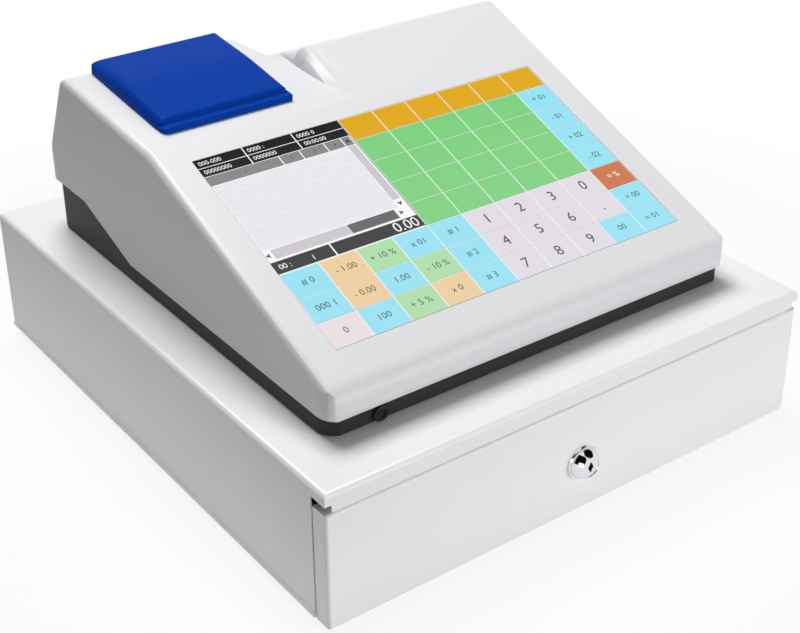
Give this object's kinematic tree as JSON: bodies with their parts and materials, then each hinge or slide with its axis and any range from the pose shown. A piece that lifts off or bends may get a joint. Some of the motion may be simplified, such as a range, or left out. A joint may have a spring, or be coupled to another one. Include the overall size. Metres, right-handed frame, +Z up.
{
  "type": "touch screen cash register",
  "caption": "All-in-one touch screen till with a receipt printer under a blue lid, standing on a steel cash drawer with a key lock and a note and coin insert.",
  "frame": {"origin": "middle of the drawer case's footprint, on the surface that its feet stand on", "axes": "+X to the right as the cashier sees it, +Y to the back, +Z up"},
  "size_m": [0.4012, 0.4599, 0.243],
  "materials": {
    "white_paint": "smooth white enamel",
    "grey_paint": "grey enamel",
    "zinc_steel": "zinc plated steel",
    "bright_steel": "bright plated",
    "lock_chrome": "polished chrome",
    "foot_rubber": "matt rubber",
    "platen_rubber": "ground rubber",
    "till_black": "fine textured moulding",
    "cup_grey": "fine textured moulding",
    "roller_white": "smooth acetal",
    "shell_white": "smooth white moulding",
    "base_charcoal": "fine textured moulding",
    "lid_blue": "smooth blue moulding",
    "fitting_black": "polished black moulding",
    "screen_glass": "clear touch glass",
    "smoke_glass": "smoked clear window",
    "module_grey": "display module",
    "board_green": "solder resist",
    "copper_coil": "lacquered winding",
    "gear_white": "smooth acetal",
    "gear_brass": "machined brass",
    "paper_white": "thermal paper"
  },
  "bodies": {
    "register": {"drawer_case": "white_paint", "base_pan": "white_paint", "case_feet": "foot_rubber", "slide_rails": "zinc_steel", "case_screws": "zinc_steel", "latch_bracket": "zinc_steel", "solenoid": "copper_coil", "ejector_post": "zinc_steel", "ejector_spring": "bright_steel", "lower_housing": "base_charcoal", "register_feet": "foot_rubber", "register_screws": "zinc_steel", "upper_housing": "shell_white", "touch_glass": "screen_glass", "display_module": "module_grey", "display_frame": "zinc_steel", "key_reader": "fitting_black", "main_board": "board_green", "rear_ports": "zinc_steel", "port_inserts": "fitting_black", "rocker_frame": "fitting_black", "customer_lens": "smoke_glass", "customer_module": "module_grey", "paper_bucket": "till_black", "print_frame": "zinc_steel", "thermal_head": "module_grey", "tear_bar": "zinc_steel", "feed_motor": "zinc_steel"},
    "drawer": {"drawer_tray": "grey_paint", "drawer_fascia": "white_paint", "drawer_runners": "zinc_steel", "striker": "zinc_steel", "lock_barrel": "lock_chrome", "lock_nut": "zinc_steel", "till_insert": "till_black", "coin_tray": "cup_grey", "clip_rod": "bright_steel"},
    "lock": {"lock_plug": "lock_chrome"},
    "clip_1": {"note_clip_1": "bright_steel"},
    "clip_2": {"note_clip_2": "bright_steel"},
    "clip_3": {"note_clip_3": "bright_steel"},
    "clip_4": {"note_clip_4": "bright_steel"},
    "clip_5": {"note_clip_5": "bright_steel"},
    "wheel_front_left": {"front_roller_left": "roller_white"},
    "wheel_front_right": {"front_roller_right": "roller_white"},
    "wheel_rear_left": {"rear_roller_left": "roller_white"},
    "wheel_rear_right": {"rear_roller_right": "roller_white"},
    "latch": {"latch_hook": "zinc_steel"},
    "plunger": {"solenoid_plunger": "bright_steel"},
    "lid": {"printer_lid": "lid_blue", "hinge_rod": "zinc_steel"},
    "platen": {"platen_roller": "platen_rubber"},
    "idler": {"idler_gear": "gear_white"},
    "pinion": {"motor_pinion": "gear_brass"},
    "roll": {"paper_roll": "paper_white"},
    "rocker": {"power_rocker": "fitting_black"}
  },
  "joints": [
    {"name": "drawer_slide", "type": "slide", "parent": "register", "child": "drawer", "axis": [0, -1, 0], "range_m": [0, 0.29]},
    {"name": "lock_turn", "type": "hinge", "parent": "drawer", "child": "lock", "pos_m": [0, -0.22, 0.044], "axis": [0, 1, 0], "range_deg": [0, 90]},
    {"name": "clip_1_lift", "type": "hinge", "parent": "drawer", "child": "clip_1", "pos_m": [-0.14512, 0.15, 0.0692], "axis": [-1, 0, 0], "range_deg": [0, 33], "stiffness_Nm_per_rad": 0.1, "springref_deg": -20.05},
    {"name": "clip_2_lift", "type": "hinge", "parent": "drawer", "child": "clip_2", "pos_m": [-0.07256, 0.15, 0.0692], "axis": [-1, 0, 0], "range_deg": [0, 33], "stiffness_Nm_per_rad": 0.1, "springref_deg": -20.05},
    {"name": "clip_3_lift", "type": "hinge", "parent": "drawer", "child": "clip_3", "pos_m": [0, 0.15, 0.0692], "axis": [-1, 0, 0], "range_deg": [0, 33], "stiffness_Nm_per_rad": 0.1, "springref_deg": -20.05},
    {"name": "clip_4_lift", "type": "hinge", "parent": "drawer", "child": "clip_4", "pos_m": [0.07256, 0.15, 0.0692], "axis": [-1, 0, 0], "range_deg": [0, 33], "stiffness_Nm_per_rad": 0.1, "springref_deg": -20.05},
    {"name": "clip_5_lift", "type": "hinge", "parent": "drawer", "child": "clip_5", "pos_m": [0.14512, 0.15, 0.0692], "axis": [-1, 0, 0], "range_deg": [0, 33], "stiffness_Nm_per_rad": 0.1, "springref_deg": -20.05},
    {"name": "wheel_front_left_spin", "type": "hinge", "parent": "register", "child": "wheel_front_left", "pos_m": [-0.1888, -0.19, 0.055], "axis": [1, 0, 0], "continuous": true},
    {"name": "wheel_front_right_spin", "type": "hinge", "parent": "register", "child": "wheel_front_right", "pos_m": [0.1888, -0.19, 0.055], "axis": [1, 0, 0], "continuous": true},
    {"name": "wheel_rear_left_spin", "type": "hinge", "parent": "drawer", "child": "wheel_rear_left", "pos_m": [-0.1946, 0.165, 0.055], "axis": [1, 0, 0], "continuous": true},
    {"name": "wheel_rear_right_spin", "type": "hinge", "parent": "drawer", "child": "wheel_rear_right", "pos_m": [0.1946, 0.165, 0.055], "axis": [1, 0, 0], "continuous": true},
    {"name": "latch_swing", "type": "hinge", "parent": "register", "child": "latch", "pos_m": [-0.03, 0.205, 0.038], "axis": [0, 0, 1], "range_deg": [0, 20], "stiffness_Nm_per_rad": 0.05, "springref_deg": -5.73},
    {"name": "plunger_slide", "type": "slide", "parent": "register", "child": "plunger", "axis": [-1, 0, 0], "range_m": [0, 0.0036]},
    {"name": "lid_hinge", "type": "hinge", "parent": "register", "child": "lid", "pos_m": [-0.0955, 0.14337, 0.23738], "axis": [-1, 0, 0], "range_deg": [0, 85]},
    {"name": "platen_spin", "type": "hinge", "parent": "lid", "child": "platen", "pos_m": [-0.0955, 0.0565, 0.217], "axis": [1, 0, 0], "continuous": true},
    {"name": "idler_spin", "type": "hinge", "parent": "register", "child": "idler", "pos_m": [-0.1394, 0.0481, 0.2026], "axis": [1, 0, 0], "continuous": true},
    {"name": "pinion_spin", "type": "hinge", "parent": "register", "child": "pinion", "pos_m": [-0.1394, 0.0403, 0.1922], "axis": [1, 0, 0], "continuous": true},
    {"name": "roll_spin", "type": "hinge", "parent": "register", "child": "roll", "pos_m": [-0.0955, 0.1, 0.1813], "axis": [1, 0, 0], "continuous": true},
    {"name": "rocker_tilt", "type": "hinge", "parent": "register", "child": "rocker", "pos_m": [0.164, 0.15, 0.1283], "axis": [0, 0, 1], "range_deg": [0, 16]}
  ],
  "couplings": [
    {"joint": "wheel_front_left_spin", "follows": "drawer_slide", "rad_per_m": 105.26},
    {"joint": "wheel_front_right_spin", "follows": "drawer_slide", "rad_per_m": 105.26},
    {"joint": "wheel_rear_left_spin", "follows": "drawer_slide", "rad_per_m": 105.26},
    {"joint": "wheel_rear_right_spin", "follows": "drawer_slide", "rad_per_m": 105.26},
    {"joint": "plunger_slide", "follows": "latch_swing", "m_per_rad": 0.01},
    {"joint": "idler_spin", "follows": "platen_spin", "ratio": -0.79412},
    {"joint": "pinion_spin", "follows": "platen_spin", "ratio": 1.9286}
  ]
}
